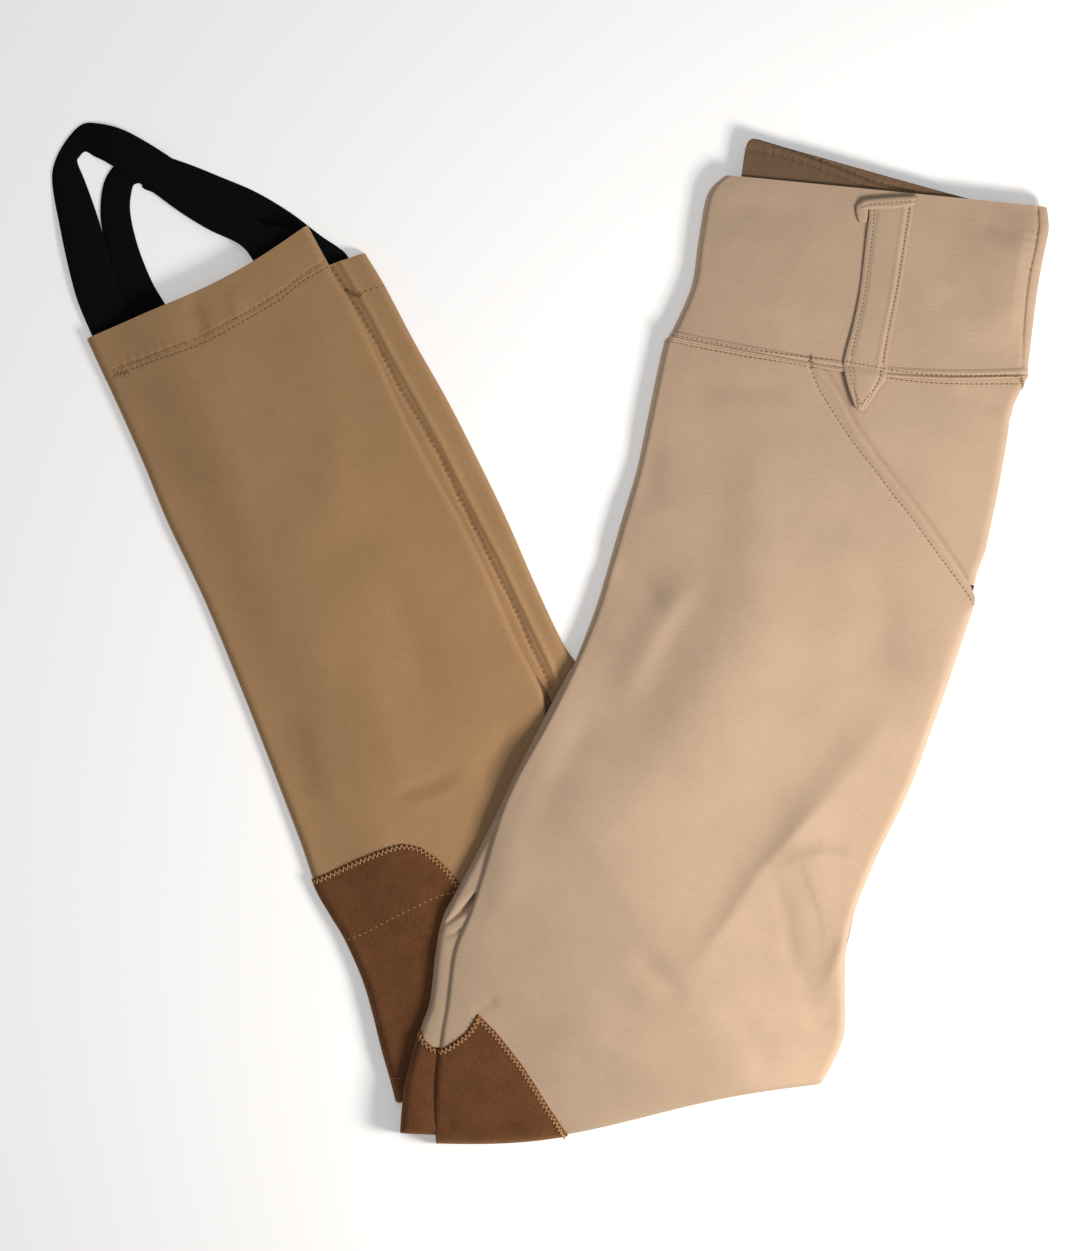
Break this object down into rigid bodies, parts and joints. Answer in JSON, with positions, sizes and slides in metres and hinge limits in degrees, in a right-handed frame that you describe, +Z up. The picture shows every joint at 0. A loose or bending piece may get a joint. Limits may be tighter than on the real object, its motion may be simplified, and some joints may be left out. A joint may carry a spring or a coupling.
{
  "type": "riding breeches",
  "caption": "Folded riding breeches with a wide waistband, slanted pocket, belt loop, suede inner-knee patches and elastic stirrup straps.",
  "frame": {"origin": "bottom centre of the folded garment's bounding box, on the floor it lies on", "axes": "+Z up out of the floor; +Y towards the waistband and the stirrup straps; +X towards the waistband's side seam"},
  "size_m": [0.5001, 0.5138, 0.0194],
  "materials": {
    "cloth": "matte stretch twill with a fine rib",
    "waistband_inside": "matte stretch twill",
    "suede": "brushed suede",
    "elastic": "matte woven elastic"
  },
  "bodies": {
    "root": {"waistband_front": "cloth", "waist_seam_strip": "cloth", "front_panel_left": "cloth", "pocket_facing_left": "cloth", "waistband_back": "waistband_inside", "thigh_edge_right": "cloth", "knee_patch_right_thigh": "suede", "hem_right": "cloth", "calf_panel_right": "cloth", "hem_left": "cloth", "calf_panel_left": "cloth", "knee_patch_left_thigh": "suede", "knee_patch_right_calf": "suede", "stirrup_strap_right": "elastic", "stirrup_strap_left": "elastic", "belt_loop": "cloth", "belt_loop_tab": "cloth", "folded_layers": "cloth"}
  },
  "joints": []
}
